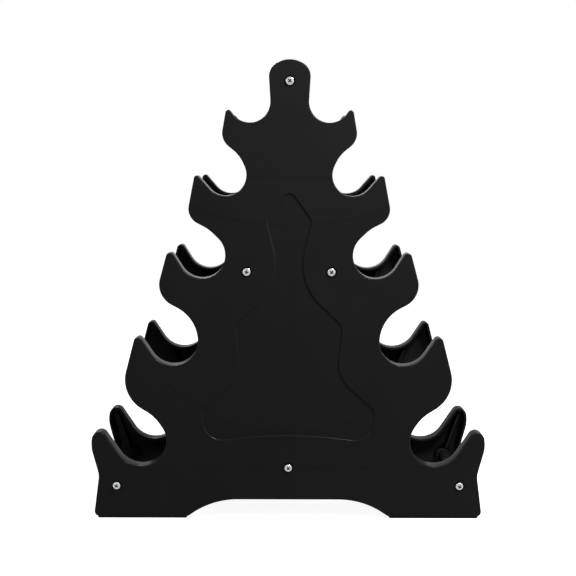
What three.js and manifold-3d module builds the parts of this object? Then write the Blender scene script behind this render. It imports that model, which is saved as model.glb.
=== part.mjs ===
// Dumbbell rack: two moulded plastic panels, each shaped like a tree with five tiers of cradles,
// held apart by six cross tubes. Screws pass through each panel into threaded inserts in the tubes.
// Millimetres, +Z up. The front faces -Y. The origin is on the floor under the middle of the rack.
import * as THREE from 'three';
import { mergeVertices } from 'three/addons/utils/BufferGeometryUtils.js';
import Module from 'manifold-3d';

const wasm = await Module();
wasm.setup();

// ---- Driving dimensions ----

const rackDepth = 98;        // outer face of one panel to outer face of the other
const fit = 0.3;             // clearance left between pieces that touch

// Panel moulding, measured from its outer face inwards
const panelDepth = 12.5;
const faceWall = 2.6;
const rimWall = 2.6;
const edgeRound = 1.4;       // rounding where the face turns into the rim
const ribWall = 2;
const ribDepth = 9;          // the ribs stop short of the rim's open edge

// Rubber soles under the feet
const soleThickness = 1.5;
const soleInset = 0.8;       // edge of the sole to the face and to the open side of the foot
const soleReach = 2;         // how far it runs on under the foot's outer corner

// Cross tubes and the sockets that hold their ends
const tubeOuter = 12;
const tubeWall = 1.2;
const socketWall = 2.2;
const socketDepth = 10.5;
const seatThickness = 3.8;   // solid plastic at the bottom of a socket

// Screws and threaded inserts
const threadOuter = 4;
const screwLength = 14;
const headOuter = 8.2;
const headHeight = 2.6;
const crossLength = 4.6;
const crossWidth = 1;
const crossDepth = 1.5;
const spotOuter = 10.5;      // spot face cut for the screw head
const spotDepth = 0.8;
const insertLength = 11;
const flangeThickness = 1;
const flangeStep = 0.2;      // edge of the flange to the tube's outer surface

// The tiers. A cradle's wall stands over its inner side, its seat curves under it, and a horn
// ends it.
//   rise       seat floor above the one below; the lowest is measured from the floor
//   wallX      innermost x of the cradle
//   wallR      radius of the hollow above the seat
//   wallStand  height of that hollow's centre above the seat's centre
//   seatR      radius of the seat
//   lean       slope of the horn's inner side, in degrees
//   lip        straight length of that side
//   tipR       rounding of the horn's tip
//   bellyOut   outermost x of the horn, beyond the centre of its tip
//   bellyR     rounding under the horn
const lowestTier = {
  rise: 58.8, wallX: 129.6, wallR: 43.1, wallStand: -4.6, seatR: 27.7,
  lean: 57.5, lip: 25.4, tipR: 7.6, bellyOut: 8.8, bellyR: 38.2,
};
const secondTier = {
  rise: 110.3, wallX: 94.8, wallR: 39.9, wallStand: -0.2, seatR: 26.3,
  lean: 57.2, lip: 18.8, tipR: 4.5, bellyOut: 14.8, bellyR: 36.5,
};
const thirdTier = {
  rise: 92.1, wallX: 65.5, wallR: 41.3, wallStand: -7.2, seatR: 24.2,
  lean: 58.4, lip: 15.2, tipR: 4.3, bellyOut: 11.9, bellyR: 23.6,
};
const fourthTier = {
  rise: 84.5, wallX: 43.5, wallR: 35.7, wallStand: -3.1, seatR: 21.2,
  lean: 49.1, lip: 16, tipR: 3, bellyOut: 9, bellyR: 16.4,
};
const topTier = {
  rise: 73, wallX: 19.3, seatR: 20.7,
  lean: 53.9, lip: 3.1, tipR: 3.1, bellyOut: 6.5, bellyR: 16.5,
};
const tiers = [lowestTier, secondTier, thirdTier, fourthTier, topTier];

// Head above the top tier, and foot below the lowest
const head = { rise: 61.3, crownR: 24.2, cornerX: 20.7, cornerR: 14.6, cornerDrop: 16.4 };
const foot = {
  bellyDrop: 7.1,            // from the lowest horn's tip to its belly
  outerIn: 1,                // from that belly in to the foot's outer edge
  waistIn: 5.6,              // and from there in to its waist
  waistZ: 47.2, waistR: 24.3, outerR: 5.5, toeR: 3.2,
};
const arch = { crownZ: 21.1, flatHalf: 54, shoulderR: 84.5 };

// Shallow recess in the outer face: half widths, and heights from the seat floors beside them
const recess = {
  depth: 0.8,
  apexR: 7, apexDrop: 4.7,
  shoulderX: 22.5, shoulderR: 8, shoulderDrop: 26.1,
  waistX: 14, waistR: 60, waistUp: 16,
  elbowX: 55, elbowR: 12.5, elbowUp: 38.2,
  neckX: 52, neckR: 40, neckUp: 4.7,
  hipX: 90.5, hipR: 7, hipUp: 59.3,
  heelR: 21, heelUp: 29.2,
  sillRise: 5.2, sillShare: 0.95,  // lower edge: its bow, and of the radius that would touch both heels
};

// Places of the cross tubes
const topTubeDrop = 21;      // below the top of the head
const upperTubeInset = 21.9; // inwards from the third tier's wall
const upperTubeUp = 7;       // above the third tier's seat floor
const baseTubeUp = 36.1;     // middle one, above the crown of the arch
const cornerTubeInset = 24.8;  // inwards from the outer edge of the foot
const cornerTubeZ = 37;

// Ribs inside the panel, besides the upright one on the centre line
const neckRibUp = 17.3;      // level rib, above the fourth tier's seat floor
const baseRibHalf = 104;     // half length of the level rib through the base socket
const upperBow = { drop: 30.7, radius: 273, half: 105 };  // below the fourth tier's seat floor
const lowerBow = { up: 36.3, radius: 175, half: 130 };    // above the lowest seat floor
const strutFrom = 40;        // degrees round the seat from its lowest point
const strutLean = 20.5;      // degrees from upright
const strutLength = 42;

// Fineness of the round stretches
const chordError = 0.32;
const tubeSides = 20;
const screwSides = 12;
const domeSteps = 2;
const roundSteps = 2;

const radians = THREE.MathUtils.degToRad;

// ---- Outlines ----

// An outline is a closed chain of circles joined by their common tangents, clockwise as seen from
// outside the panel. A bulge has a positive radius and a hollow has a negative one.
const bulge = (x, z, r) => ({ x, z, r });
const hollow = (x, z, r) => ({ x, z, r: -r });

// Heading of the tangent that leaves one circle for the next
function tangentHeading(a, b) {
  const grow = b.r - a.r;
  const along = Math.sqrt(Math.max(Math.hypot(b.x - a.x, b.z - a.z) ** 2 - grow ** 2, 0));
  return Math.atan2(b.z - a.z, b.x - a.x) + Math.atan2(grow, along);
}

// Closes the right half of a chain with its mirror image; its first circle is on the centre line
function symmetricArcs(half) {
  const mirrored = half.filter((c) => c.x).reverse().map((c) => ({ ...c, x: -c.x }));
  const chain = [...half, ...mirrored];
  const headings = chain.map((c, i) => tangentHeading(c, chain[(i + 1) % chain.length]));
  return chain.map((c, i) => {
    const from = headings[(i + chain.length - 1) % chain.length];
    const way = -Math.sign(c.r);
    const full = 2 * Math.PI;
    const swept = (((headings[i] - from) * way + Math.PI / 2) % full + full) % full - Math.PI / 2;
    // An even number of steps keeps a corner at the middle of each arc
    const step = 4 * Math.acos(1 - chordError / Math.abs(c.r));
    return { ...c, from, turn: swept * way, steps: Math.max(1, 2 * Math.ceil(Math.abs(swept) / step)) };
  });
}

// Points of the outline moved outwards by grow, the same number of them whatever grow is
function ring(arcs, grow) {
  const smallest = 0.3;      // a bulge keeps this radius where the wall would take it all
  return arcs.flatMap((arc) => {
    const r = arc.r > 0 ? Math.max(arc.r + grow, smallest) : arc.r + grow;
    return Array.from({ length: arc.steps + 1 }, (_, i) => {
      const heading = arc.from + (arc.turn * i) / arc.steps;
      return new THREE.Vector2(arc.x - r * Math.sin(heading), arc.z + r * Math.cos(heading));
    });
  });
}

// Closed body through the rings of an outline at several depths, each level a [depth, grow] pair
function slab(arcs, levels) {
  const rings = levels.map(([, grow]) => ring(arcs, grow));
  const count = rings[0].length;
  const positions = rings.flatMap((points, k) => points.flatMap((p) => [p.x, levels[k][0], p.y]));
  const index = [];
  for (let k = 0; k + 1 < levels.length; k += 1) {
    for (let i = 0; i < count; i += 1) {
      const a = k * count + i;
      const b = k * count + ((i + 1) % count);
      index.push(a, b, b + count, a, b + count, a + count);
    }
  }
  for (const k of [0, levels.length - 1]) {
    const points = rings[k];
    for (const corners of THREE.ShapeUtils.triangulateShape(points, [])) {
      const [p, q, s] = corners.map((i) => points[i]);
      const area = (q.x - p.x) * (s.y - p.y) - (s.x - p.x) * (q.y - p.y);
      const facesOut = k === 0 ? area > 0 : area < 0;
      const ordered = facesOut ? corners : [...corners].reverse();
      index.push(...ordered.map((i) => k * count + i));
    }
  }
  const geometry = new THREE.BufferGeometry();
  geometry.setAttribute('position', new THREE.Float32BufferAttribute(positions, 3));
  geometry.setIndex(index);
  return geometry;
}

// ---- The plan of the panel ----

const soleTop = soleThickness + fit;

// Centres of every cradle's circles, from the lowest tier up
const cradles = [];
for (const tier of tiers) {
  const below = cradles.at(-1);
  const floorZ = (below ? below.floorZ : 0) + tier.rise;
  const seatX = tier.wallX + tier.seatR;
  const seatZ = floorZ + tier.seatR;
  const lean = radians(tier.lean);
  const reach = tier.seatR + tier.tipR;
  const tipX = seatX + reach * Math.sin(lean) + tier.lip * Math.cos(lean);
  const tipZ = seatZ - reach * Math.cos(lean) + tier.lip * Math.sin(lean);
  const bellyX = tipX + tier.bellyOut - tier.bellyR;
  // The belly rests on the hollow of the tier below, a hair clear of touching it
  const touch = below ? tier.bellyR + below.wallR + fit : 0;
  const bellyZ = below
    ? below.wallZ + Math.sqrt(touch ** 2 - (below.wallX + below.wallR - bellyX) ** 2)
    : tipZ - foot.bellyDrop;
  const wallZ = tier.wallR ? seatZ + tier.wallStand : seatZ;
  cradles.push({ ...tier, floorZ, seatX, seatZ, wallZ, tipX, tipZ, bellyX, bellyZ });
}
const headTop = cradles.at(-1).floorZ + head.rise;
const outerX = cradles[0].tipX + cradles[0].bellyOut - foot.outerIn;

// The toe's rounding stands on the floor line beside the arch
const toeReach = arch.shoulderR + foot.toeR + fit;
const toeUp = soleTop + foot.toeR - (arch.crownZ - arch.shoulderR);
const toeX = arch.flatHalf + Math.sqrt(toeReach ** 2 - toeUp ** 2);

function panelArcs() {
  const cornerX = head.cornerX - head.cornerR;
  const half = [
    bulge(0, headTop - head.crownR, head.crownR),
    bulge(cornerX, headTop - head.cornerDrop, head.cornerR),
  ];
  for (const c of [...cradles].reverse()) {
    if (c.wallR) half.push(hollow(c.wallX + c.wallR, c.wallZ, c.wallR));
    half.push(hollow(c.seatX, c.seatZ, c.seatR));
    half.push(bulge(c.tipX, c.tipZ, c.tipR));
    half.push(bulge(c.bellyX, c.bellyZ, c.bellyR));
  }
  half.push(hollow(outerX - foot.waistIn + foot.waistR, foot.waistZ, foot.waistR));
  half.push(bulge(outerX - foot.outerR, soleTop + foot.outerR, foot.outerR));
  half.push(bulge(toeX, soleTop + foot.toeR, foot.toeR));
  half.push(hollow(arch.flatHalf, arch.crownZ - arch.shoulderR, arch.shoulderR));
  return symmetricArcs(half);
}

function recessArcs() {
  const [lowest, second, third, fourth] = cradles;
  const heelX = recess.hipX - recess.heelR;
  const heelZ = lowest.floorZ + recess.heelUp + recess.heelR;
  const sillZ = lowest.floorZ + recess.heelUp + recess.sillRise;
  const touching = (heelX ** 2 + (heelZ - sillZ) ** 2 - recess.heelR ** 2) / (2 * recess.sillRise);
  const sillR = recess.sillShare * touching;
  return symmetricArcs([
    bulge(0, fourth.floorZ - recess.apexDrop, recess.apexR),
    bulge(recess.shoulderX - recess.shoulderR, fourth.floorZ - recess.shoulderDrop, recess.shoulderR),
    hollow(recess.waistX + recess.waistR, third.floorZ + recess.waistUp, recess.waistR),
    bulge(recess.elbowX - recess.elbowR, second.floorZ + recess.elbowUp, recess.elbowR),
    hollow(recess.neckX + recess.neckR, second.floorZ + recess.neckUp, recess.neckR),
    bulge(recess.hipX - recess.hipR, lowest.floorZ + recess.hipUp, recess.hipR),
    bulge(heelX, heelZ, recess.heelR),
    hollow(0, sillZ - sillR, sillR),
  ]);
}

// Cross tubes, named as seen from the front
const upperX = cradles[2].wallX - upperTubeInset;
const upperZ = cradles[2].floorZ + upperTubeUp;
const cornerX = outerX - cornerTubeInset;
const stations = [
  { name: 'top', x: 0, z: headTop - topTubeDrop },
  { name: 'upper_left', x: -upperX, z: upperZ },
  { name: 'upper_right', x: upperX, z: upperZ },
  { name: 'base_centre', x: 0, z: arch.crownZ + baseTubeUp },
  { name: 'base_left', x: -cornerX, z: cornerTubeZ },
  { name: 'base_right', x: cornerX, z: cornerTubeZ },
];

// ---- Solids and geometries ----

function toSolid(geometry) {
  for (const name of ['normal', 'uv']) geometry.deleteAttribute(name);
  const merged = mergeVertices(geometry, 1e-5);
  const corners = merged.index.array;
  const triangles = [];
  for (let i = 0; i < corners.length; i += 3) {
    const [a, b, c] = corners.slice(i, i + 3);
    if (a !== b && b !== c && c !== a) triangles.push(a, b, c);
  }
  return new wasm.Manifold(new wasm.Mesh({
    numProp: 3,
    vertProperties: new Float32Array(merged.attributes.position.array),
    triVerts: new Uint32Array(triangles),
  }));
}

function toGeometry(solid) {
  const mesh = solid.getMesh();
  const geometry = new THREE.BufferGeometry();
  geometry.setAttribute('position', new THREE.BufferAttribute(mesh.vertProperties, 3));
  geometry.setIndex(new THREE.BufferAttribute(mesh.triVerts, 1));
  geometry.computeVertexNormals();
  return geometry;
}

const joined = (solids) => solids.reduce((all, one) => all.add(one));

// Round bar along the depth, from one depth to another
function disc(radius, from, to, { x, z }) {
  const geometry = new THREE.CylinderGeometry(radius, radius, to - from, tubeSides);
  return toSolid(geometry.translate(x, (from + to) / 2, z));
}

// Rib between two points of the panel's plan, standing on the face
function ribBetween(x1, z1, x2, z2) {
  const geometry = new THREE.BoxGeometry(Math.hypot(x2 - x1, z2 - z1), ribDepth, ribWall);
  geometry.rotateY(-Math.atan2(z2 - z1, x2 - x1));
  return toSolid(geometry.translate((x1 + x2) / 2, ribDepth / 2, (z1 + z2) / 2));
}

// Rib that hangs between the two sides like a bow, lowest on the centre line
function bowRib(lowZ, radius, half) {
  const sweep = Math.asin(half / radius);
  const down = -Math.PI / 2;
  const band = new THREE.Shape();
  band.absarc(0, radius, radius + ribWall / 2, down - sweep, down + sweep, false);
  band.absarc(0, radius, radius - ribWall / 2, down + sweep, down - sweep, true);
  const geometry = new THREE.ExtrudeGeometry(band, {
    depth: ribDepth, bevelEnabled: false, curveSegments: 10,
  });
  return toSolid(geometry.rotateX(Math.PI / 2).translate(0, ribDepth, lowZ));
}

// ---- Pieces ----

const socketR = tubeOuter / 2 + fit;

function panelRibs() {
  const [lowest, , , fourth] = cradles;
  const base = stations[3];
  const ribs = [
    ribBetween(0, 0, 0, headTop),
    ribBetween(-fourth.wallX, fourth.floorZ + neckRibUp, fourth.wallX, fourth.floorZ + neckRibUp),
    ribBetween(-baseRibHalf, base.z, baseRibHalf, base.z),
    bowRib(fourth.floorZ - upperBow.drop, upperBow.radius, upperBow.half),
    bowRib(lowest.floorZ + lowerBow.up, lowerBow.radius, lowerBow.half),
  ];
  for (const side of [-1, 1]) {
    ribs.push(ribBetween(side * lowest.tipX, lowest.tipZ, side * cornerX, cornerTubeZ));
    for (const c of cradles.slice(1, 4)) {
      const x = c.seatX + c.seatR * Math.sin(radians(strutFrom));
      const z = c.seatZ - c.seatR * Math.cos(radians(strutFrom));
      const endX = x - strutLength * Math.sin(radians(strutLean));
      const endZ = z - strutLength * Math.cos(radians(strutLean));
      ribs.push(ribBetween(side * x, z, side * endX, endZ));
    }
  }
  return joined(ribs);
}

// One moulding serves for both panels. Its outer face is at depth 0 and its open side faces +Y.
function panelGeometry() {
  const arcs = panelArcs();
  const rounding = Array.from({ length: roundSteps + 1 }, (_, i) => {
    const angle = (Math.PI / 2) * (i / roundSteps);
    return [edgeRound * (1 - Math.sin(angle)), -edgeRound * (1 - Math.cos(angle))];
  }).reverse();
  const past = panelDepth + 1;
  const cavity = toSolid(slab(arcs, [[faceWall, -rimWall], [past, -rimWall]]));
  const outer = toSolid(slab(arcs, [...rounding, [panelDepth, 0]]));
  const rings = stations.map((s) => disc(socketR + socketWall, faceWall / 2, socketDepth, s));
  const cuts = [toSolid(slab(recessArcs(), [[-1, 0], [recess.depth, 0]]))];
  for (const s of stations) {
    cuts.push(disc(socketR, seatThickness, past, s));
    cuts.push(disc(threadOuter / 2 + fit, -1, past, s));
    cuts.push(disc(spotOuter / 2, -1, spotDepth, s));
  }
  // The ribs run half way into the face and the rim, so that they join both
  const ribRoom = toSolid(slab(arcs, [[faceWall / 2, -rimWall / 2], [past, -rimWall / 2]]));
  const ribs = panelRibs().intersect(ribRoom);
  const body = outer.subtract(cavity).add(ribs).add(joined(rings));
  return toGeometry(body.subtract(joined(cuts)));
}

const headSeat = spotDepth - fit;
const insertSeat = seatThickness + fit;
const tubeSeat = insertSeat + flangeThickness + fit;

const lathe = (profile, sides) => new THREE.LatheGeometry(
  profile.map(([r, y]) => new THREE.Vector2(r, y)),
  sides,
);

// Pan head with a cross recess, then the thread. Depth 0 is the panel's outer face.
function screwGeometry() {
  const top = headSeat - headHeight;
  const shoulder = headHeight / 2;
  const dome = Array.from({ length: domeSteps + 1 }, (_, i) => {
    const angle = (Math.PI / 2) * (i / domeSteps);
    return [(headOuter / 2) * Math.sin(angle), top + shoulder * (1 - Math.cos(angle))];
  });
  const end = headSeat + screwLength;
  const body = toSolid(lathe([
    ...dome,
    [headOuter / 2, headSeat],
    [threadOuter / 2, headSeat],
    [threadOuter / 2, end - threadOuter / 8],
    [threadOuter / 4, end],
    [0, end],
  ], screwSides));
  const slot = () => new THREE.BoxGeometry(crossLength, 2 * crossDepth, crossWidth);
  const cross = toSolid(slot().translate(0, top, 0))
    .add(toSolid(slot().rotateY(Math.PI / 2).translate(0, top, 0)));
  return toGeometry(body.subtract(cross));
}

function insertGeometry() {
  const bore = threadOuter / 2 + fit;
  const flangeR = tubeOuter / 2 - flangeStep;
  const bodyR = tubeOuter / 2 - tubeWall - fit;
  const step = insertSeat + flangeThickness;
  const end = step + insertLength;
  return toGeometry(toSolid(lathe([
    [bore, insertSeat], [flangeR, insertSeat], [flangeR, step],
    [bodyR, step], [bodyR, end], [bore, end], [bore, insertSeat],
  ], screwSides)));
}

function tubeGeometry() {
  const half = rackDepth / 2 - tubeSeat;
  const outer = tubeOuter / 2;
  const inner = outer - tubeWall;
  return toGeometry(toSolid(lathe([
    [inner, -half], [outer, -half], [outer, half], [inner, half], [inner, -half],
  ], tubeSides)));
}

// The soles lie under the flat of each foot, from its toe outwards
const soleFromX = toeX;
const soleToX = outerX - foot.outerR + soleReach;

function soleGeometry() {
  const depth = panelDepth - 2 * soleInset;
  const geometry = new THREE.BoxGeometry(soleToX - soleFromX, depth, soleThickness);
  return toGeometry(toSolid(geometry.translate(0, 0, soleThickness / 2)));
}

// ---- Finishes ----

const finishes = {
  plastic: { color: 0x1c1c1d, roughness: 0.42, metalness: 0 },
  tube: { color: 0x17181a, roughness: 0.5, metalness: 0.2 },
  zinc: { color: 0xc9ccd0, roughness: 0.3, metalness: 1 },
  brass: { color: 0xb08d4a, roughness: 0.35, metalness: 1 },
  rubber: { color: 0x121212, roughness: 0.85, metalness: 0 },
};

function piece(name, geometry, finish) {
  const mesh = new THREE.Mesh(geometry, new THREE.MeshStandardMaterial(finishes[finish]));
  mesh.name = name;
  return mesh;
}

// ---- Assembly ----

const panel = panelGeometry();
const screw = screwGeometry();
const insert = insertGeometry();
const tube = tubeGeometry();
const sole = soleGeometry();

// How far each screw's cross is turned, in degrees, in the order of the stations
const crossTurns = { front: [45, 10, 40, 45, 30, 35], rear: [20, 65, 5, 50, 80, 15] };

const rack = new THREE.Group();

for (const side of ['front', 'rear']) {
  // The rear half is the front half turned round, so its own left is the rack's right
  const facing = side === 'front' ? 1 : -1;
  const half = new THREE.Group();
  half.position.y = (-facing * rackDepth) / 2;
  half.rotation.z = side === 'front' ? 0 : Math.PI;
  half.add(piece(`${side}_panel`, panel, 'plastic'));

  stations.forEach((s, i) => {
    const screwMesh = piece(`${s.name}_${side}_screw`, screw, 'zinc');
    screwMesh.position.set(facing * s.x, 0, s.z);
    screwMesh.rotation.y = radians(crossTurns[side][i]);
    const insertMesh = piece(`${s.name}_${side}_insert`, insert, 'brass');
    insertMesh.position.set(facing * s.x, 0, s.z);
    half.add(screwMesh, insertMesh);
  });

  const soleX = (soleFromX + soleToX) / 2;
  for (const [name, x] of [['left', -soleX], ['right', soleX]]) {
    const soleMesh = piece(`${side}_${name}_sole`, sole, 'rubber');
    soleMesh.position.set(facing * x, panelDepth / 2, 0);
    half.add(soleMesh);
  }
  rack.add(half);
}

for (const s of stations) {
  const mesh = piece(`${s.name}_tube`, tube, 'tube');
  mesh.position.set(s.x, 0, s.z);
  rack.add(mesh);
}

export default rack;
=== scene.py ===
import math

import bmesh
import bpy
import numpy as np
from mathutils import Matrix, Vector
from mathutils.geometry import delaunay_2d_cdt


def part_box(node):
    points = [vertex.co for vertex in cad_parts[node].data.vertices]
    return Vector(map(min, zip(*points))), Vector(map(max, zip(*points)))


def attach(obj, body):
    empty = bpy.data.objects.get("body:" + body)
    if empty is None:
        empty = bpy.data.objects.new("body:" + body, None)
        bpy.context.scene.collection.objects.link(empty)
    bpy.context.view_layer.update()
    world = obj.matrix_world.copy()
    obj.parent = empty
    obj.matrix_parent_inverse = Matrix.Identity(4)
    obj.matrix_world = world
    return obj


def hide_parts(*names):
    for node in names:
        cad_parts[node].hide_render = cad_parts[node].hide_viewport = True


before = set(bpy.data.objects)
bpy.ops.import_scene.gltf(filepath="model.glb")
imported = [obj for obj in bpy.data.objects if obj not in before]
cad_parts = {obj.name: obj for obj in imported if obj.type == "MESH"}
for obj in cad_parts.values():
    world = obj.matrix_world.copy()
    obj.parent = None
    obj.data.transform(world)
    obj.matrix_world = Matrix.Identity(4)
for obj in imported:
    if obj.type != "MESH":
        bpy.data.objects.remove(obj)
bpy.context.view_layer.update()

scene = bpy.context.scene
mm = 0.001
midRound = 0.3  # of its radius: how far the middle of a three-point rounding lies from either side
sharpAngle = 28  # degrees: an edge that turns by more than this stays sharp
black, white = (0, 0, 0, 1), (1, 1, 1, 1)


def linearColour(hexText):
    # sRGB hex to the linear values that sockets take
    parts = [int(hexText[i:i + 2], 16) / 255 for i in (1, 3, 5)]
    return [c / 12.92 if c <= 0.04045 else ((c + 0.055) / 1.055) ** 2.4 for c in parts] + [1]


def addNode(tree, kind, links=None, **settings):
    # one node with its settings, and its inputs linked to sockets or given values
    node = tree.nodes.new(kind)
    for name, value in settings.items():
        setattr(node, name, value)
    for name, value in (links or {}).items():
        socket = node.inputs[name]
        if isinstance(value, bpy.types.NodeSocket):
            tree.links.new(value, socket)
        else:
            socket.default_value = value
    return node


def newObject(name, mesh):
    made = bpy.data.objects.new(name, mesh)
    scene.collection.objects.link(made)
    return made


def meshFrom(name, vertices, faces):
    mesh = bpy.data.meshes.new(name)
    mesh.from_pydata([tuple(map(float, v)) for v in vertices], [], faces)
    mesh.update()
    return mesh


def meshOf(name, shape):
    mesh = bpy.data.meshes.new(name)
    shape.to_mesh(mesh)
    shape.free()
    return mesh


def stackRings(shape, rings):
    # a closed solid from rings of corners, one above the other
    for a, b in zip(rings, rings[1:]):
        for i in range(len(a)):
            j = (i + 1) % len(a)
            shape.faces.new([a[i], a[j], b[j], b[i]])
    shape.faces.new(rings[0][::-1])
    shape.faces.new(rings[-1])
    bmesh.ops.recalc_face_normals(shape, faces=shape.faces)


def settle(made):
    # turns the object with its modifiers into a plain mesh
    graph = bpy.context.evaluated_depsgraph_get()
    graph.update()
    plain = bpy.data.meshes.new_from_object(made.evaluated_get(graph))
    plain.name = made.name
    made.modifiers.clear()
    made.data = plain
    return made


def combine(base, tool, operation, exact=False):
    # the exact solver is for pieces that cross themselves, such as the net of ribs
    change = base.modifiers.new(operation, "BOOLEAN")
    change.operation = operation
    change.solver = "EXACT" if exact else "MANIFOLD"
    change.use_self = exact
    change.object = tool
    settle(base)
    bpy.data.objects.remove(tool)


def lathed(name, profile, sides):
    # (radius, depth) pairs turned round the Y axis; a radius of 0 closes the end
    shape = bmesh.new()
    rings = []
    for radius, depth in profile:
        count = sides if radius > 0 else 1
        rings.append([
            shape.verts.new((
                radius * math.cos(2 * math.pi * i / sides), depth,
                radius * math.sin(2 * math.pi * i / sides),
            ))
            for i in range(count)
        ])
    closed = profile[0] == profile[-1]
    if closed:
        for v in rings.pop():
            shape.verts.remove(v)
    for a, b in zip(rings, rings[1:] + (rings[:1] if closed else [])):
        for i in range(sides):
            j = (i + 1) % sides
            corners = [a[i % len(a)], a[j % len(a)], b[j % len(b)], b[i % len(b)]]
            kept = [v for k, v in enumerate(corners) if v is not corners[k - 1]]
            if len(kept) > 2:
                shape.faces.new(kept)
    bmesh.ops.recalc_face_normals(shape, faces=shape.faces)
    return meshOf(name, shape)


def smoothByAngle(mesh, degrees=sharpAngle):
    mesh.shade_smooth()
    mesh.set_sharp_from_angle(angle=math.radians(degrees))


def finishedMesh(made, degrees=sharpAngle):
    # keeps an object's mesh, with its sharp edges marked, and drops the object
    mesh = made.data
    smoothByAngle(mesh, degrees)
    bpy.data.objects.remove(made)
    return mesh


# millimetres and degrees, from the middle of the front panel's face at floor level
cameraPlace = {
    "lens": 48.75, "sensor": 36, "distance": 793.6, "side": -4.09, "height": 375.5,
    "downward": 8.866, "turned": 0.223, "rolled": 0.228,
}
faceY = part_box("front_panel")[0].y
cameraData = bpy.data.cameras.new("camera")
cameraData.lens = cameraPlace["lens"]
cameraData.sensor_width = cameraPlace["sensor"]
camera = newObject("camera", cameraData)
camera.location = (
    cameraPlace["side"] * mm, faceY - cameraPlace["distance"] * mm, cameraPlace["height"] * mm,
)
camera.rotation_mode = "QUATERNION"
camera.rotation_quaternion = (
    Matrix.Rotation(math.radians(-cameraPlace["turned"]), 3, "Z")
    @ Matrix.Rotation(math.radians(90 - cameraPlace["downward"]), 3, "X")
    @ Matrix.Rotation(math.radians(cameraPlace["rolled"]), 3, "Z")
).to_quaternion()
scene.camera = camera
print("camera placed")


# Millimetres and degrees. A tier's wall stands over the inner side of its cradle, the seat curves
# under it and a horn ends it; rise is measured from the seat floor below.
panelSizes = {
    "depth": 12.5, "faceWall": 2.6, "rimWall": 2.6, "fit": 0.3, "soleThickness": 1.5,
    "edgeRound": 1.4, "edgeSteps": 10, "lipRound": 0.35, "lipSteps": 4, "innerRound": 0.6,
    "fineness": 0.02,  # how far a facet may lie inside its arc
    "tiers": [
        dict(rise=58.8, wallX=129.6, wallR=43.1, wallStand=-4.6, seatR=27.7,
             lean=57.5, lip=25.4, tipR=7.6, bellyOut=8.8, bellyR=38.2),
        dict(rise=110.3, wallX=94.8, wallR=39.9, wallStand=-0.2, seatR=26.3,
             lean=57.2, lip=18.8, tipR=4.5, bellyOut=14.8, bellyR=36.5),
        dict(rise=92.1, wallX=65.5, wallR=41.3, wallStand=-7.2, seatR=24.2,
             lean=58.4, lip=15.2, tipR=4.3, bellyOut=11.9, bellyR=23.6),
        dict(rise=84.5, wallX=43.5, wallR=35.7, wallStand=-3.1, seatR=21.2,
             lean=49.1, lip=16, tipR=3, bellyOut=9, bellyR=16.4),
        dict(rise=73, wallX=19.3, wallR=0, wallStand=0, seatR=20.7,
             lean=53.9, lip=3.1, tipR=3.1, bellyOut=6.5, bellyR=16.5),
    ],
    "head": dict(rise=61.3, crownR=24.2, cornerX=20.7, cornerR=14.6, cornerDrop=16.4),
    "foot": dict(bellyDrop=7.1, outerIn=1, waistIn=5.6, waistZ=47.2, waistR=24.3, outerR=5.5, toeR=3.2),
    "arch": dict(crownZ=21.1, flatHalf=54, shoulderR=84.5),
    # half widths, radii, and heights from the seat floors beside them
    "recess": dict(
        apexR=7, apexDrop=4.7, shoulderX=22.5, shoulderR=8, shoulderDrop=26.1,
        waistX=14, waistR=60, waistUp=16, elbowX=55, elbowR=12.5, elbowUp=38.2,
        neckX=52, neckR=40, neckUp=4.7, hipX=90.5, hipR=7, hipUp=59.3, heelR=21, heelUp=29.2,
        sillRise=5.2, sillShare=0.95),
    "recessDepth": 0.8, "recessDraft": 0.4, "recessRound": 0.12, "recessEase": 0.2,
    "socketWall": 2.2, "socketDepth": 10.5, "socketR": 6.3, "socketRound": 0.4, "seatThickness": 3.8,
    "holeR": 2.3, "spotR": 5.25, "spotDepth": 0.8, "spotEdge": 0.3,
}
# Millimetres and degrees. A strut starts on a seat, strutFrom round it from its lowest point, and
# leans inwards by strutLean as it goes down.
ribSizes = {
    "wall": 2, "depth": 9, "endInset": 1, "neckUp": 17.3, "baseHalf": 104,
    "upperBow": dict(drop=30.7, radius=273, half=105),  # below the fourth tier's seat floor
    "lowerBow": dict(up=36.3, radius=175, half=130),    # above the lowest seat floor
    "bowSteps": 48, "strutFrom": 40, "strutLean": 20.5, "strutLength": 42,
}
leastRadius = 0.3  # an arc that is moved inwards keeps at least this


def tangentHeading(a, b):
    # heading of the straight that leaves one circle for the next
    grow = b[2] - a[2]
    away = math.hypot(b[0] - a[0], b[1] - a[1])
    return math.atan2(b[1] - a[1], b[0] - a[0]) + math.asin(max(-1, min(1, grow / away)))


def symmetricArcs(half, fineness):
    # closes the right half of a chain of circles with its mirror image
    chain = half + [(-x, z, r) for x, z, r in half[::-1] if x]
    headings = [tangentHeading(c, chain[(i + 1) % len(chain)]) for i, c in enumerate(chain)]
    arcs = []
    for i, (x, z, r) in enumerate(chain):
        way = -math.copysign(1, r)
        swept = ((headings[i] - headings[i - 1]) * way + math.pi / 2) % (2 * math.pi) - math.pi / 2
        step = 2 * math.acos(1 - fineness / abs(r))
        arcs.append((x, z, r, headings[i - 1], swept * way, max(2, math.ceil(abs(swept) / step))))
    return arcs


def outlineRing(arcs, grow):
    # points of the outline moved outwards by grow, always as many
    points = []
    for x, z, r, start, turn, steps in arcs:
        reach = max(r + grow, leastRadius) if r > 0 else r + grow
        for i in range(steps + 1):
            heading = start + turn * i / steps
            points.append((x - reach * math.sin(heading), z + reach * math.cos(heading)))
    return np.array(points)


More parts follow.
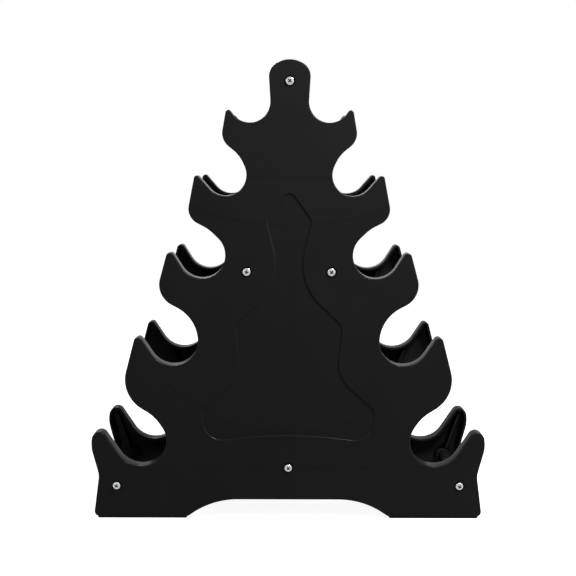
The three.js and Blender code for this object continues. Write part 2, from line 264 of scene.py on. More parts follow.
def cradlePlan(sizes):
    # places of every cradle's circles, each as (x, z, radius), where a hollow's radius is negative
    cradles = []
    floorZ = 0
    for tier in sizes["tiers"]:
        below = cradles[-1] if cradles else None
        floorZ += tier["rise"]
        slope = math.radians(tier["lean"])
        seat = (tier["wallX"] + tier["seatR"], floorZ + tier["seatR"], -tier["seatR"])
        reach = tier["seatR"] + tier["tipR"]
        tip = (
            seat[0] + reach * math.sin(slope) + tier["lip"] * math.cos(slope),
            seat[1] - reach * math.cos(slope) + tier["lip"] * math.sin(slope), tier["tipR"],
        )
        bellyX = tip[0] + tier["bellyOut"] - tier["bellyR"]
        bellyZ = tip[1] - sizes["foot"]["bellyDrop"]
        if below:
            wall = below["wall"]
            touch = tier["bellyR"] - wall[2] + sizes["fit"]
            bellyZ = wall[1] + math.sqrt(touch ** 2 - (wall[0] - bellyX) ** 2)
        wallX, wallR = tier["wallX"], tier["wallR"]
        cradles.append({
            "floor": floorZ, "seat": seat, "tip": tip, "belly": (bellyX, bellyZ, tier["bellyR"]),
            "wall": (wallX + wallR, seat[1] + tier["wallStand"], -wallR) if wallR else None,
            "wallX": wallX,
        })
    return cradles


def recessPlan(dip, floors):
    lowest, second, third, fourth = floors[:4]
    # the lower edge bows up between the heels, at a share of the radius that would touch both
    heelX, heelZ = dip["hipX"] - dip["heelR"], lowest + dip["heelUp"] + dip["heelR"]
    sillZ = lowest + dip["heelUp"] + dip["sillRise"]
    touching = (heelX ** 2 + (heelZ - sillZ) ** 2 - dip["heelR"] ** 2) / (2 * dip["sillRise"])
    sillR = dip["sillShare"] * touching
    return [
        (0, fourth - dip["apexDrop"], dip["apexR"]),
        (dip["shoulderX"] - dip["shoulderR"], fourth - dip["shoulderDrop"], dip["shoulderR"]),
        (dip["waistX"] + dip["waistR"], third + dip["waistUp"], -dip["waistR"]),
        (dip["elbowX"] - dip["elbowR"], second + dip["elbowUp"], dip["elbowR"]),
        (dip["neckX"] + dip["neckR"], second + dip["neckUp"], -dip["neckR"]),
        (dip["hipX"] - dip["hipR"], lowest + dip["hipUp"], dip["hipR"]),
        (heelX, heelZ, dip["heelR"]),
        (0, sillZ - sillR, -sillR),
    ]


def panelPlan(sizes):
    # the cradles, the height of the top, and the arcs of the outline and the recess
    cradles = cradlePlan(sizes)
    floors = [c["floor"] for c in cradles]
    head, foot, arch = sizes["head"], sizes["foot"], sizes["arch"]
    top = floors[-1] + head["rise"]
    soleTop = sizes["soleThickness"] + sizes["fit"]
    outerX = cradles[0]["tip"][0] + sizes["tiers"][0]["bellyOut"] - foot["outerIn"]
    shoulderZ = arch["crownZ"] - arch["shoulderR"]
    toeReach = arch["shoulderR"] + foot["toeR"] + sizes["fit"]
    toeX = arch["flatHalf"] + math.sqrt(toeReach ** 2 - (soleTop + foot["toeR"] - shoulderZ) ** 2)
    chain = [
        (0, top - head["crownR"], head["crownR"]),
        (head["cornerX"] - head["cornerR"], top - head["cornerDrop"], head["cornerR"]),
    ]
    for c in reversed(cradles):
        chain += [c[part] for part in ("wall", "seat", "tip", "belly") if c[part]]
    chain += [
        (outerX - foot["waistIn"] + foot["waistR"], foot["waistZ"], -foot["waistR"]),
        (outerX - foot["outerR"], soleTop + foot["outerR"], foot["outerR"]),
        (toeX, soleTop + foot["toeR"], foot["toeR"]),
        (arch["flatHalf"], shoulderZ, -arch["shoulderR"]),
    ]
    recess = recessPlan(sizes["recess"], floors)
    fineness = sizes["fineness"]
    return cradles, top, symmetricArcs(chain, fineness), symmetricArcs(recess, fineness)


def bowsOf(cradles, sizes):
    # (lowest height, radius, half length) of the two bowed ribs
    upper, lower = sizes["upperBow"], sizes["lowerBow"]
    return [
        (cradles[3]["floor"] - upper["drop"], upper["radius"], upper["half"]),
        (cradles[0]["floor"] + lower["up"], lower["radius"], lower["half"]),
    ]


def filledPlan(outer, holes):
    # triangles between an outline and its holes, counter-clockwise; numbers run on from loop to loop
    loops = [outer] + holes
    points = np.vstack(loops)
    edges = []
    first = 0
    for loop in loops:
        n = len(loop)
        edges += [(first + i, first + (i + 1) % n) for i in range(n)]
        first += n
    tooClose, sliver = 1e-6, 1e-12  # lengths that count as none
    found, _, triangles, origin, _, _ = delaunay_2d_cdt(
        [Vector(p) for p in points], edges, [], 0, tooClose)
    assert len(found) == len(points), "the outline crosses itself"
    number = [o[0] for o in origin]
    corners = np.array([[number[i] for i in t] for t in triangles])
    middle = points[corners].mean(1)
    kept = np.zeros(len(corners), bool)
    for loop in loops:
        a, b = loop, np.roll(loop, -1, 0)
        x, y = middle[:, :1], middle[:, 1:]
        rise = np.where(b[:, 1] == a[:, 1], sliver, b[:, 1] - a[:, 1])
        edgeX = (b[:, 0] - a[:, 0]) * (y - a[:, 1]) / rise + a[:, 0]
        crossing = ((a[:, 1] > y) != (b[:, 1] > y)) & (x < edgeX)
        kept ^= crossing.sum(1) % 2 == 1
    return [tuple(int(i) for i in c) for c in corners[kept]]


def lofted(rings, levels, flip=False):
    # bands between successive rings at their heights; the rings run clockwise
    n = len(rings[0])
    vertices = [(x, y, z) for ring, z in zip(rings, levels) for x, y in ring]
    faces = []
    for k in range(len(rings) - 1):
        for i in range(n):
            j = (i + 1) % n
            quad = (k * n + i, k * n + j, (k + 1) * n + j, (k + 1) * n + i)
            faces.append(quad[::-1] if flip else quad)
    return vertices, faces


def quarterTurn(radius, steps):
    # (sine, cosine) pairs of a rounding, times its radius
    angles = [math.pi / 2 * i / steps for i in range(steps + 1)]
    return [(radius * math.sin(a), radius * math.cos(a)) for a in angles]


def trayShell(sizes, arcs, recessArcs):
    # closed tray in the plan: X across, Y up, the face at Z 0 and the open side below; each step of
    # its wall is how far it lies outside the outline, and at what height
    depth, face, rim = sizes["depth"], sizes["faceWall"], sizes["rimWall"]
    edge, lip, corner = sizes["edgeRound"], sizes["lipRound"], sizes["innerRound"]
    lipTurn = quarterTurn(lip, sizes["lipSteps"])
    steps = [(s - edge, c - edge) for s, c in quarterTurn(edge, sizes["edgeSteps"])]
    steps += [(c - lip, lip - s - depth) for s, c in lipTurn]
    steps += [(lip - s - rim, lip - c - depth) for s, c in lipTurn]
    steps += [(-rim, -face - corner), (-rim - midRound * corner, -face - midRound * corner),
              (-rim - corner, -face)]
    rings = [outlineRing(arcs, grow) for grow, _ in steps]
    vertices, faces = lofted(rings, [level for _, level in steps])
    n = len(rings[0])

    # the recess's wall, leaning by its draft, from its soft upper edge down to its floor; the
    # factors spread either rounding over about two of its radii
    r, fall, draft, ease = (sizes["recess" + part] for part in ("Round", "Depth", "Draft", "Ease"))
    dip = [(draft + 2 * r, 0), (draft + 1.2 * r, -midRound * ease), (draft + 0.5 * r, -ease),
           (0.5 * ease, ease - fall), (-0.8 * r, 0.25 * ease - fall), (-1.6 * r, -fall)]
    recessRings = [outlineRing(recessArcs, grow) for grow, _ in dip]
    start = len(vertices)
    more, walls = lofted(recessRings, [level for _, level in dip], flip=True)
    vertices += more
    faces += [tuple(i + start for i in f) for f in walls]

    for corners in filledPlan(rings[0], [recessRings[0]]):
        faces.append(tuple(i if i < n else i - n + start for i in corners))
    last = start + (len(dip) - 1) * len(recessRings[0])
    faces += [tuple(i + last for i in f) for f in filledPlan(recessRings[-1], [])]
    back = (len(steps) - 1) * n
    faces += [tuple(i + back for i in f[::-1]) for f in filledPlan(rings[-1], [])]
    return meshFrom("trayShell", vertices, faces)


def ribLines(cradles, top, stations, sizes):
    # centre lines of the ribs in the plan
    level, inset = cradles[3]["floor"] + sizes["neckUp"], sizes["endInset"]
    base = stations["base_centre"][1]
    lines = [
        [(0, inset), (0, top - inset)],
        [(-cradles[3]["wallX"], level), (cradles[3]["wallX"], level)],
        [(-sizes["baseHalf"], base), (sizes["baseHalf"], base)],
    ]
    for low, radius, half in bowsOf(cradles, sizes):
        sweep, steps = math.asin(half / radius), sizes["bowSteps"]
        turns = [sweep * (2 * i / steps - 1) for i in range(steps + 1)]
        lines.append([(radius * math.sin(a), low + radius * (1 - math.cos(a))) for a in turns])
    corner, tip = stations["base_right"], cradles[0]["tip"]
    around, leaning = math.radians(sizes["strutFrom"]), math.radians(sizes["strutLean"])
    length = sizes["strutLength"]
    for side in (-1, 1):
        lines.append([(side * tip[0], tip[1]), (side * corner[0], corner[1])])
        for c in cradles[1:4]:
            x = c["seat"][0] - c["seat"][2] * math.sin(around)
            z = c["seat"][1] + c["seat"][2] * math.cos(around)
            lines.append([
                (side * x, z),
                (side * (x - length * math.sin(leaning)), z - length * math.cos(leaning)),
            ])
    return lines


def geometryTree(name, inputs, output):
    # an empty tree with its inputs, each of a kind of socket, and one geometry output
    tree = bpy.data.node_groups.new(name, "GeometryNodeTree")
    for label, kind in inputs.items():
        tree.interface.new_socket(name=label, in_out="INPUT", socket_type="NodeSocket" + kind)
    tree.interface.new_socket(name=output, in_out="OUTPUT", socket_type="NodeSocketGeometry")
    return tree, addNode(tree, "NodeGroupInput").outputs


def ribTree():
    # sweeps every line with a rib's cross-section
    tree, given = geometryTree(
        "ribSweep", {"Lines": "Geometry", "Wall": "Float", "Depth": "Float"}, "Ribs")
    curve = addNode(tree, "GeometryNodeMeshToCurve", {"Mesh": given["Lines"]})
    upright = addNode(tree, "GeometryNodeSetCurveNormal", {"Curve": curve.outputs["Curve"]}, mode="Z_UP")
    section = addNode(tree, "GeometryNodeCurvePrimitiveQuadrilateral", {
        "Width": given["Wall"], "Height": given["Depth"]})
    swept = addNode(tree, "GeometryNodeCurveToMesh", {
        "Curve": upright.outputs["Curve"], "Profile Curve": section.outputs["Curve"], "Fill Caps": True})
    addNode(tree, "NodeGroupOutput", {"Ribs": swept.outputs["Mesh"]})
    return tree


def setInput(change, name, value):
    # a modifier's input goes by its socket's identifier
    for item in change.node_group.interface.items_tree:
        if item.item_type == "SOCKET" and item.in_out == "INPUT" and item.name == name:
            change[item.identifier] = value


def sweptRibs(lines, sizes):
    vertices, edges = [], []
    for line in lines:
        first = len(vertices)
        vertices += [(x, y, -sizes["depth"] / 2) for x, y in line]
        edges += [(first + i, first + i + 1) for i in range(len(line) - 1)]
    mesh = bpy.data.meshes.new("ribLines")
    mesh.from_pydata(vertices, edges, [])
    ribs = newObject("ribs", mesh)
    change = ribs.modifiers.new("sweep", "NODES")
    change.node_group = ribTree()
    setInput(change, "Wall", sizes["wall"])
    setInput(change, "Depth", sizes["depth"])
    return settle(ribs)


def planSlab(arcs, grow, high, low):
    rings = [outlineRing(arcs, grow)] * 2
    vertices, faces = lofted(rings, [high, low])
    n = len(rings[0])
    cap = filledPlan(rings[0], [])
    faces += [tuple(f) for f in cap] + [tuple(i + n for i in f[::-1]) for f in cap]
    return meshFrom("planSlab", vertices, faces)


def atStations(name, profile, places, sides=64):
    # the same turned shape at each place of the plan, its depth running down from the face
    shape = bmesh.new()
    for x, z in places:
        one = lathed(name, profile, sides)
        one.transform(Matrix.Translation((x, z, 0)) @ Matrix.Rotation(math.radians(-90), 4, "X"))
        shape.from_mesh(one)
    return newObject(name, meshOf(name, shape))


stationNames = ["top", "upper_left", "upper_right", "base_centre", "base_left", "base_right"]
stations = {}
for place in stationNames:
    low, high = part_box(f"{place}_tube")
    stations[place] = ((low.x + high.x) / 2 / mm, (low.z + high.z) / 2 / mm)


def buildPanel(sizes):
    cradles, top, arcs, recessArcs = panelPlan(sizes)
    places = list(stations.values())
    panel = newObject("panel", trayShell(sizes, arcs, recessArcs))
    print("tray shell:", len(panel.data.polygons), "faces")

    ribs = sweptRibs(ribLines(cradles, top, stations, ribSizes), ribSizes)
    # ribs and posts start halfway through the walls that they join, and cutters end beyond the tray
    wallMiddle, beyond = sizes["faceWall"] / 2, 1
    slab = planSlab(arcs, -sizes["rimWall"] / 2, -wallMiddle, -sizes["depth"] - beyond)
    combine(ribs, newObject("ribRoom", slab), "INTERSECT", exact=True)
    print("ribs:", len(ribs.data.polygons), "faces")
    outer = sizes["socketR"] + sizes["socketWall"]
    deep, soft = sizes["socketDepth"], sizes["socketRound"]
    posts = atStations("posts", [
        (0, wallMiddle), (outer, wallMiddle), (outer, deep - soft),
        (outer - midRound * soft, deep - midRound * soft), (outer - soft, deep), (0, deep),
    ], places)
    combine(panel, ribs, "UNION")
    combine(panel, posts, "UNION")
    edge, spot, hole, socket = (sizes[part] for part in ("spotEdge", "spotR", "holeR", "socketR"))
    cutters = atStations("cutters", [
        (0, -beyond), (spot + 2 * edge, -beyond), (spot + 2 * edge, -edge), (spot, edge),
        (spot, sizes["spotDepth"]), (hole, sizes["spotDepth"]), (hole, sizes["seatThickness"]),
        (socket, sizes["seatThickness"]), (socket, sizes["depth"] + beyond), (0, sizes["depth"] + beyond),
    ], places)
    combine(panel, cutters, "DIFFERENCE")
    print("panel:", len(panel.data.polygons), "faces")
    return panel


def placePanel(source, name, turned):
    # stands the plan upright at its node's place; its level faces are shaded flat
    levelFrom = 0.99999
    mesh = source.data.copy()
    low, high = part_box(name)
    depth = low.y if not turned else high.y
    stand = Matrix.Translation((0, depth, 0)) @ Matrix.Rotation(math.pi if turned else 0, 4, "Z")
    mesh.transform(stand @ Matrix.Rotation(math.pi / 2, 4, "X") @ Matrix.Scale(mm, 4))
    smoothByAngle(mesh)
    mesh.polygons.foreach_set("use_smooth", [abs(p.normal.y) <= levelFrom for p in mesh.polygons])
    piece = newObject(name.replace("_panel", "_moulding"), mesh)
    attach(piece, "root")
    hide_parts(name)
    return piece


panelPlain = buildPanel(panelSizes)
frontMoulding = placePanel(panelPlain, "front_panel", False)
rearMoulding = placePanel(panelPlain, "rear_panel", True)
bpy.data.objects.remove(panelPlain)
print("panels stand")


# The hardware is shaped once for each kind and set out by Geometry Nodes.
def settingOutTree():
    # copies one part to every point, turned by the point's own angles
    tree, given = geometryTree("settingOut", {
        "Places": "Geometry", "Part": "Object", "Part size": "Float", "Finish": "Material"}, "Parts")
    part = addNode(tree, "GeometryNodeObjectInfo", {"Object": given["Part"]})
    angles = addNode(tree, "GeometryNodeInputNamedAttribute", {"Name": "angles"}, data_type="FLOAT_VECTOR")
    turned = addNode(tree, "FunctionNodeEulerToRotation", {"Euler": angles.outputs["Attribute"]})
    copies = addNode(tree, "GeometryNodeInstanceOnPoints", {
        "Points": given["Places"], "Instance": part.outputs["Geometry"],
        "Rotation": turned.outputs["Rotation"], "Scale": given["Part size"]})
    real = addNode(tree, "GeometryNodeRealizeInstances", {"Geometry": copies.outputs["Instances"]})
    coated = addNode(tree, "GeometryNodeSetMaterial", {
        "Geometry": real.outputs["Geometry"], "Material": given["Finish"]})
    addNode(tree, "NodeGroupOutput", {"Parts": coated.outputs["Geometry"]})
    return tree


settingOut = settingOutTree()


def setOut(name, partMesh, places, finish, nodes):
    # places are (position, angles) pairs in metres and radians, the part's own mesh is in millimetres
    part = newObject(name + "Part", partMesh)
    points = bpy.data.meshes.new(name + "Places")
    points.from_pydata([tuple(p) for p, _ in places], [], [])
    angles = points.attributes.new("angles", "FLOAT_VECTOR", "POINT")
    angles.data.foreach_set("vector", [c for _, a in places for c in a])
    made = newObject(name, points)
    change = made.modifiers.new("settingOut", "NODES")
    change.node_group = settingOut
    setInput(change, "Part", part)
    setInput(change, "Part size", mm)
    setInput(change, "Finish", finish)
    settle(made)
    bpy.data.objects.remove(part)
    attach(made, "root")
    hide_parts(*nodes)
    print(name, len(made.data.polygons), "faces")


# Millimetres and degrees. The seat is how deep the head's underside lies below the panel's face.
screwSizes = {
    "headR": 4.1, "headHeight": 2.5, "seat": 0.5, "crownRise": 0.75, "crownSteps": 8,
    "rimRound": 0.9, "rimSteps": 6, "seatEdge": 0.15, "sides": 48, "sharpFrom": 32,
    "threadR": 2, "coreR": 1.62, "pitch": 0.7, "length": 14,
    "plainNeck": 0.5, "threadStop": 0.6, "tipRound": 0.4,
    "crossLength": 4.4, "crossWidth": 1.3, "crossDepth": 1.9, "crossTaper": 0.55, "crossThinning": 0.82,
    "crossFlare": 1.25, "crossAbove": 0.5, "crossStraight": 0.1,
    # how far each station's cross is turned
    "turns": {"front": [45, 10, 40, 45, 30, 35], "rear": [20, 65, 5, 50, 80, 15]},
}


def crossMesh(sizes, top):
    # cutter for the cross recess: two bars that narrow downwards, at right angles
    long, wide = sizes["crossLength"] / 2, sizes["crossWidth"] / 2
    rows = [
        (long * sizes["crossFlare"], wide, top - sizes["crossAbove"]),
        (long, wide, top + sizes["crossStraight"]),
        (long * sizes["crossTaper"], wide * sizes["crossThinning"], top + sizes["crossDepth"]),
    ]
    shape = bmesh.new()
    for turn in (0, math.pi / 2):
        about = Matrix.Rotation(turn, 3, "Y")
        stackRings(shape, [
            [shape.verts.new(about @ Vector((a, y, b))) for a, b in ((-x, -z), (x, -z), (x, z), (-x, z))]
            for x, z, y in rows
        ])
    return meshOf("cross", shape)


def screwMesh(sizes):
    # pan head with a crowned top and a cross recess, over a rolled thread
    headR, seat, threadR, coreR = (sizes[part] for part in ("headR", "seat", "threadR", "coreR"))
    crown, rim, edge, tip = (sizes[part] for part in ("crownRise", "rimRound", "seatEdge", "tipRound"))
    top, end = seat - sizes["headHeight"], seat + sizes["length"]
    steps, pitch = sizes["crownSteps"], sizes["pitch"]
    profile = [((headR - rim) * i / steps, top + crown * (i / steps) ** 2) for i in range(steps + 1)]
    for s, c in quarterTurn(rim, sizes["rimSteps"])[1:]:
        profile.append((headR - rim + s, top + crown + rim - c))
    profile += [(headR, seat - edge), (headR - edge, seat), (threadR, seat)]
    depth = seat + sizes["plainNeck"]
    while depth + pitch < end - sizes["threadStop"]:
        profile += [(coreR, depth), (threadR, depth + pitch / 2)]
        depth += pitch
    profile += [(coreR, depth), (coreR, end - tip), (coreR - tip, end), (0, end)]
    screw = newObject("screw", lathed("screw", profile, sizes["sides"]))
    combine(screw, newObject("cross", crossMesh(sizes, top)), "DIFFERENCE", exact=True)
    return finishedMesh(screw, sizes["sharpFrom"])


tubeSizes = {"outerR": 6, "wall": 1.2, "chamfer": 0.25, "sides": 64}


def tubeMesh(sizes, length):
    half, outer, cut = length / 2, sizes["outerR"], sizes["chamfer"]
    inner = outer - sizes["wall"]
    mesh = lathed("tube", [
        (inner, -half), (outer - cut, -half), (outer, -half + cut), (outer, half - cut),
        (outer - cut, half), (inner, half), (inner, -half),
    ], sizes["sides"])
    smoothByAngle(mesh)
    return mesh


soleSizes = {
    "cornerR": 1.6, "cornerSteps": 6, "edgeR": 0.25,
    "grooves": 22, "grooveWidth": 1.4, "grooveDepth": 0.5, "grooveInset": 1.2,
}


def soleMesh(sizes, length, width, thickness):
    # strip with round corners and an easy edge; shallow cross grooves underneath give it its grip
    corner, edge, steps = sizes["cornerR"], sizes["edgeR"], sizes["cornerSteps"]
    outline = []
    for x, y, start in ((1, 1, 0), (-1, 1, 90), (-1, -1, 180), (1, -1, 270)):
        for i in range(steps + 1):
            a = math.radians(start + 90 * i / steps)
            outline.append((x * (length / 2 - corner), y * (width / 2 - corner), math.cos(a), math.sin(a)))
    easy = midRound * edge
    rows = [(-edge, 0), (-easy, easy), (0, edge),
            (0, thickness - edge), (-easy, thickness - easy), (-edge, thickness)]
    shape = bmesh.new()
    stackRings(shape, [
        [shape.verts.new((x + c * (corner + g), y + s * (corner + g), z)) for x, y, c, s in outline]
        for g, z in rows
    ])
    sole = newObject("sole", meshOf("sole", shape))
    shape = bmesh.new()
    step = (length - 2 * corner) / sizes["grooves"]
    size = (sizes["grooveWidth"] / 2, width / 2 - sizes["grooveInset"], sizes["grooveDepth"])
    for i in range(sizes["grooves"]):
        middle = Matrix.Translation((-length / 2 + corner + step * (i + 0.5), 0, 0))
        bmesh.ops.create_cube(shape, size=2, matrix=middle @ Matrix.Diagonal((*size, 1)))
    combine(sole, newObject("grooves", meshOf("grooves", shape)), "DIFFERENCE")
    return finishedMesh(sole)


def emptyTree(owner):
    # the node tree of a material or world, without the nodes it starts with
    owner.use_nodes = True
    owner.node_tree.nodes.clear()
    return owner.node_tree


def newFinish(name):
    finish = bpy.data.materials.new(name)
    tree = emptyTree(finish)
    shader = addNode(tree, "ShaderNodeBsdfPrincipled")
    addNode(tree, "ShaderNodeOutputMaterial", {"Surface": shader.outputs["BSDF"]})
    return finish, tree, shader


def mathNode(tree, operation, *values, clamp=False):
    node = addNode(tree, "ShaderNodeMath", dict(enumerate(values)), operation=operation, use_clamp=clamp)
    return node.outputs[0]


def paintedCornerShade(tree, reach, strength, shallow=1.0, ownOnly=False):
    # painted shade: 1 on open surfaces and on shallow steps, falling towards 0 in narrow corners, where
    # shade falls
    clear = addNode(tree, "ShaderNodeAmbientOcclusion", {"Distance": reach}, samples=8, only_local=ownOnly)
    opened = mathNode(tree, "DIVIDE", clear.outputs["AO"], shallow, clamp=True)
    return mathNode(tree, "POWER", opened, strength)


def noisePattern(tree, at, grain, detail, roughness=0.5):
    return addNode(tree, "ShaderNodeTexNoise", {
        "Vector": at, "Scale": 1 / grain, "Detail": detail, "Roughness": roughness}).outputs["Fac"]


def mixedColour(tree, share, first, second):
    return addNode(tree, "ShaderNodeMix", {0: share, 6: first, 7: second}, data_type="RGBA").outputs[2]


def variedRoughness(tree, pattern, look):
    # the look's own roughness, a little more or less with the pattern
    swing = mathNode(tree, "SUBTRACT", pattern, 0.5)
    swing = mathNode(tree, "MULTIPLY", swing, look["roughnessSpread"])
    return mathNode(tree, "ADD", swing, look["roughness"])


def bumpedBy(tree, shader, height):
    bump = addNode(tree, "ShaderNodeBump", {"Height": height, "Distance": 1.0})
    tree.links.new(bump.outputs["Normal"], shader.inputs["Normal"])


# Polypropylene, injection moulded with a fine satin grain: near black, a low broad sheen, and
# faint sink lines where the ribs stand behind the face.
plasticLook = {
    "colour": "#191919", "deepColour": "#131313", "roughness": 0.22, "roughnessSpread": 0.05,
    "specular": 0.04, "grain": 1.6 * mm, "grainHeight": 0.004 * mm, "flow": 70 * mm,
    "sinkWidth": 3.6 * mm, "sinkHeight": 0.06 * mm, "sinkPaintedShade": 0.1, "sinkPolish": 0.03,
    "shadeReach": 14 * mm, "shadeStrength": 5.5, "seamShadeReach": 2.5 * mm, "seamShadeStrength": 3.0, "shallow": 0.7,
}


def plasticFinish(look):
    finish, tree, shader = newFinish("moulded polypropylene, satin black")
    at = addNode(tree, "ShaderNodeTexCoord").outputs["Object"]
    axes = addNode(tree, "ShaderNodeSeparateXYZ", {"Vector": at}).outputs
    x, z = axes["X"], axes["Z"]
    cradles = cradlePlan(panelSizes)

    def calc(operation, *values):
        return mathNode(tree, operation, *values)

    across = calc("ABSOLUTE", x)

    def band(distance):
        # 1 on a rib's middle, fading to 0 at the sink line's edge
        return addNode(tree, "ShaderNodeMapRange", {
            "Value": distance, "From Max": look["sinkWidth"], "To Min": 1.0, "To Max": 0.0,
        }, interpolation_type="SMOOTHSTEP").outputs["Result"]

    def level(height, half):
        line = band(calc("ABSOLUTE", calc("SUBTRACT", z, height)))
        return calc("MULTIPLY", line, calc("LESS_THAN", across, half))

    def bow(low, radius, half):
        down = calc("SUBTRACT", z, low + radius)
        away = calc("SQRT", calc("ADD", calc("MULTIPLY", x, x), calc("MULTIPLY", down, down)))
        line = band(calc("ABSOLUTE", calc("SUBTRACT", away, radius)))
        near = calc("MULTIPLY", calc("LESS_THAN", across, half), calc("LESS_THAN", down, 0.0))
        return calc("MULTIPLY", line, near)

    # painted shade along the level ribs and the bows darkens the face a little; the upright one only dents
    # it
    sinkLinePaintedShade = level((cradles[3]["floor"] + ribSizes["neckUp"]) * mm, cradles[3]["wallX"] * mm)
    lines = [level(stations["base_centre"][1] * mm, ribSizes["baseHalf"] * mm)]
    lines += [bow(low * mm, radius * mm, half * mm) for low, radius, half in bowsOf(cradles, ribSizes)]
    for line in lines:
        sinkLinePaintedShade = calc("MAXIMUM", sinkLinePaintedShade, line)
    sink = calc("MAXIMUM", sinkLinePaintedShade, band(across))
    # the real grain is about 0.2 mm, too fine to show, so it is drawn coarser
    grain = noisePattern(tree, at, look["grain"], detail=2.0, roughness=0.6)
    flow = noisePattern(tree, at, look["flow"], detail=3.0, roughness=0.55)
    colour = mixedColour(tree, flow, linearColour(look["deepColour"]), linearColour(look["colour"]))
    # painted shade deep in the tray, and in the narrow seams round the screws
    trayPaintedShade = paintedCornerShade(tree, look["shadeReach"], look["shadeStrength"], look["shallow"], ownOnly=True)
    seamPaintedShade = paintedCornerShade(tree, look["seamShadeReach"], look["seamShadeStrength"], look["shallow"])
    paintedShadeFactor = calc("MULTIPLY", trayPaintedShade, seamPaintedShade)
    # painted shade along the sink lines of the level ribs and the bows
    paintedShadeFactor = calc("MULTIPLY", paintedShadeFactor, calc("SUBTRACT", 1.0, calc("MULTIPLY", sinkLinePaintedShade, look["sinkPaintedShade"])))
    tree.links.new(mixedColour(tree, paintedShadeFactor, black, colour), shader.inputs["Base Color"])
    polish = calc("MULTIPLY", sink, look["sinkPolish"])
    rough = calc("SUBTRACT", variedRoughness(tree, flow, look), polish)
    tree.links.new(rough, shader.inputs["Roughness"])
    shader.inputs["Specular IOR Level"].default_value = look["specular"]
    dent = calc("MULTIPLY", sink, look["sinkHeight"])
    bumpedBy(tree, shader, calc("SUBTRACT", calc("MULTIPLY", grain, look["grainHeight"]), dent))
    return finish


# Steel tube, powder coated black: a little pebbled, a soft wide highlight along it.
tubeLook = {
    "colour": "#0e0e0f", "roughness": 0.5, "roughnessSpread": 0.1, "specular": 0.04,
    "pebble": 1.2 * mm, "pebbleHeight": 0.02 * mm,
}
# Steel screws, bright zinc plated: clear cool metal, slightly clouded, with painted shade in the cross.
zincLook = {
    "colour": "#cbcccd", "clouded": "#b6b8ba", "clouds": 2.5 * mm,
    "roughness": 0.2, "roughnessSpread": 0.12, "shadeReach": 2 * mm, "shadeStrength": 5.0,
}
# Brass, turned: warm metal, slightly tarnished in clouds; its rings are too fine to draw.
brassLook = {
    "colour": "#c9a45a", "clouded": "#b58f4a", "clouds": 2 * mm,
    "roughness": 0.3, "roughnessSpread": 0.12, "shadeReach": 1 * mm, "shadeStrength": 1.0,
}
# Nitrile rubber, pressed: dead matt and a little grainy.
rubberLook = {
    "colour": "#0f0f10", "roughness": 0.85, "roughnessSpread": 0.1, "specular": 0.2,
    "pebble": 0.9 * mm, "pebbleHeight": 0.03 * mm,
}


def pebbledFinish(name, look):
    finish, tree, shader = newFinish(name)
    at = addNode(tree, "ShaderNodeTexCoord").outputs["Object"]
    pebble = noisePattern(tree, at, look["pebble"], detail=2.0)
    shader.inputs["Base Color"].default_value = linearColour(look["colour"])
    shader.inputs["Specular IOR Level"].default_value = look["specular"]
    tree.links.new(variedRoughness(tree, pebble, look), shader.inputs["Roughness"])
    bumpedBy(tree, shader, mathNode(tree, "MULTIPLY", pebble, look["pebbleHeight"]))
    return finish


def metalFinish(name, look):
    finish, tree, shader = newFinish(name)
    at = addNode(tree, "ShaderNodeTexCoord").outputs["Object"]
    clouds = noisePattern(tree, at, look["clouds"], detail=3.0)
    colour = mixedColour(tree, clouds, linearColour(look["clouded"]), linearColour(look["colour"]))
    # painted shade in narrow hollows, such as the screws' cross
    paintedShadeFactor = paintedCornerShade(tree, look["shadeReach"], look["shadeStrength"])
    tree.links.new(mixedColour(tree, paintedShadeFactor, black, colour), shader.inputs["Base Color"])
    shader.inputs["Metallic"].default_value = 1.0
    tree.links.new(variedRoughness(tree, clouds, look), shader.inputs["Roughness"])
    return finish


blackPlastic = plasticFinish(plasticLook)
coatedSteel = pebbledFinish("powder-coated steel, black", tubeLook)
zincSteel = metalFinish("zinc-plated steel, bright", zincLook)
turnedBrass = metalFinish("turned brass", brassLook)
blackRubber = pebbledFinish("pressed nitrile rubber, black", rubberLook)
print("finishes made")


def boxMiddle(node):
    low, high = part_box(node)
    return (low + high) / 2


screwPlaces, screwNodes = [], []
for side, facing, face in (
    ("front", 0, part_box("front_panel")[0].y), ("rear", math.pi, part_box("rear_panel")[1].y),
):
    for place, turn in zip(stationNames, screwSizes["turns"][side]):
        screwNodes.append(f"{place}_{side}_screw")
        middle = boxMiddle(screwNodes[-1])
        screwPlaces.append(((middle.x, face, middle.z), (0, math.radians(turn), facing)))
setOut("panelScrews", screwMesh(screwSizes), screwPlaces, zincSteel, screwNodes)

low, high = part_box("top_tube")
tubeNodes = [f"{place}_tube" for place in stationNames]
tubePlaces = [(boxMiddle(node), (0, 0, 0)) for node in tubeNodes]
setOut("crossTubes", tubeMesh(tubeSizes, (high.y - low.y) / mm), tubePlaces,
       coatedSteel, tubeNodes)

soleNodes = [f"{side}_{hand}_sole" for side in ("front", "rear") for hand in ("left", "right")]
low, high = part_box(soleNodes[0])
size = (high - low) / mm
solePlaces = [((boxMiddle(node).x, boxMiddle(node).y, low.z), (0, 0, 0)) for node in soleNodes]
setOut("footSoles", soleMesh(soleSizes, size.x, size.y, size.z), solePlaces,
       blackRubber, soleNodes)

for place in stationNames:
    for side in ("front", "rear"):
        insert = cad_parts[f"{place}_{side}_insert"]
        insert.data.materials.clear()
        insert.data.materials.append(turnedBrass)
for piece in (frontMoulding, rearMoulding):
    piece.data.materials.clear()
    piece.data.materials.append(blackPlastic)


# metres, and strengths where 1 is white
stageSizes = {
    "floor": 3, "floorColour": "#a0a0a0", "floorGlow": 0.93, "nearby": 0.45, "faraway": 1.1,
    "surround": 0.06, "background": 1.0,
}


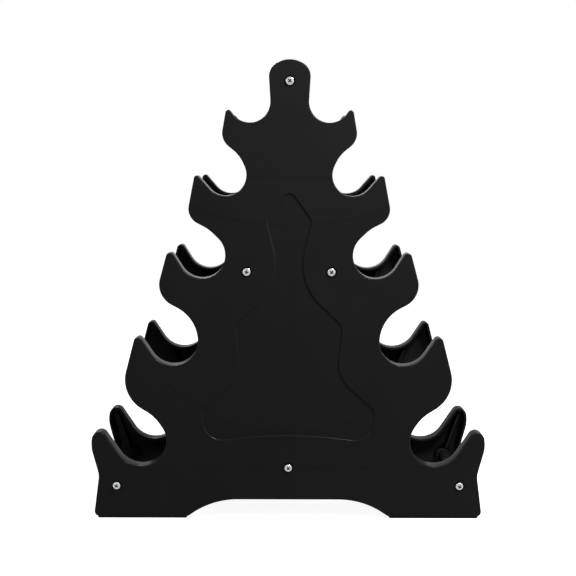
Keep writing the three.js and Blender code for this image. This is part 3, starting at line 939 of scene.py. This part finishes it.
def makeFloor(sizes):
    half = sizes["floor"] / 2
    corners = [(-half, -half, 0), (half, -half, 0), (half, half, 0), (-half, half, 0)]
    mesh = meshFrom("floor", corners, [(0, 1, 2, 3)])
    floor = newObject("floor", mesh)
    finish = bpy.data.materials.new("pale paper sweep")
    tree = emptyTree(finish)
    ray = addNode(tree, "ShaderNodeLightPath").outputs
    paper = addNode(tree, "ShaderNodeBsdfDiffuse", {"Color": linearColour(sizes["floorColour"])})
    # the paper glows a little less near the object, which leaves room for its shadow
    at = addNode(tree, "ShaderNodeTexCoord").outputs["Object"]
    away = addNode(tree, "ShaderNodeVectorMath", {0: at}, operation="LENGTH").outputs["Value"]
    strength = addNode(tree, "ShaderNodeMapRange", {
        "Value": away, "From Min": sizes["nearby"], "From Max": sizes["faraway"],
        "To Min": sizes["floorGlow"], "To Max": 1.0}, interpolation_type="SMOOTHSTEP").outputs["Result"]
    glow = addNode(tree, "ShaderNodeEmission", {"Strength": strength})
    lit = addNode(tree, "ShaderNodeAddShader", {0: paper.outputs["BSDF"], 1: glow.outputs["Emission"]})
    seen = addNode(tree, "ShaderNodeMixShader", {
        0: ray["Is Camera Ray"], 1: paper.outputs["BSDF"], 2: lit.outputs["Shader"]})
    plain = addNode(tree, "ShaderNodeEmission", {"Strength": sizes["background"]})
    mirrored = mathNode(tree, "MAXIMUM", ray["Is Glossy Ray"], ray["Is Transmission Ray"])
    both = addNode(tree, "ShaderNodeMixShader", {
        0: mirrored, 1: seen.outputs["Shader"], 2: plain.outputs["Emission"]})
    addNode(tree, "ShaderNodeOutputMaterial", {"Surface": both.outputs["Shader"]})
    mesh.materials.append(finish)


def makeWorld(sizes):
    world = bpy.data.worlds.new("studio")
    tree = emptyTree(world)
    ray = addNode(tree, "ShaderNodeLightPath").outputs
    soft = addNode(tree, "ShaderNodeBackground", {"Color": white, "Strength": sizes["surround"]})
    plain = addNode(tree, "ShaderNodeBackground", {"Color": white, "Strength": sizes["background"]})
    mirrored = mathNode(tree, "MAXIMUM", ray["Is Glossy Ray"], ray["Is Transmission Ray"])
    seen = mathNode(tree, "MAXIMUM", ray["Is Camera Ray"], mirrored)
    both = addNode(tree, "ShaderNodeMixShader", {
        0: seen, 1: soft.outputs["Background"], 2: plain.outputs["Background"]})
    addNode(tree, "ShaderNodeOutputWorld", {"Surface": both.outputs["Shader"]})
    scene.world = world


# metres and watts
lamps = {
    "keyLamp": dict(place=(0.43, -0.29, 0.92), aimHeight=0.25, size=0.3, power=19),
    "sideLamp": dict(place=(0.8, -0.3, 0.42), aimHeight=0.2, size=0.35, power=1.5),
    "leftLamp": dict(place=(-0.7, -0.4, 0.6), aimHeight=0.2, size=0.35, power=1.5),
    "rearLamp": dict(place=(-0.4, 0.8, 0.9), aimHeight=0.25, size=0.6, power=12),
}


def makeLamp(name, place, aimHeight, size, power):
    # a round soft box that faces the rack's middle line
    lamp = bpy.data.lights.new(name, "AREA")
    lamp.shape = "DISK"
    lamp.size = size
    lamp.energy = power
    made = newObject(name, lamp)
    made.location = place
    made.rotation_mode = "QUATERNION"
    made.rotation_quaternion = (Vector((0, 0, aimHeight)) - Vector(place)).to_track_quat("-Z", "Y")


makeFloor(stageSizes)
makeWorld(stageSizes)
for name, lamp in lamps.items():
    makeLamp(name, **lamp)
print("stage set")

scene.view_settings.view_transform = "Standard"
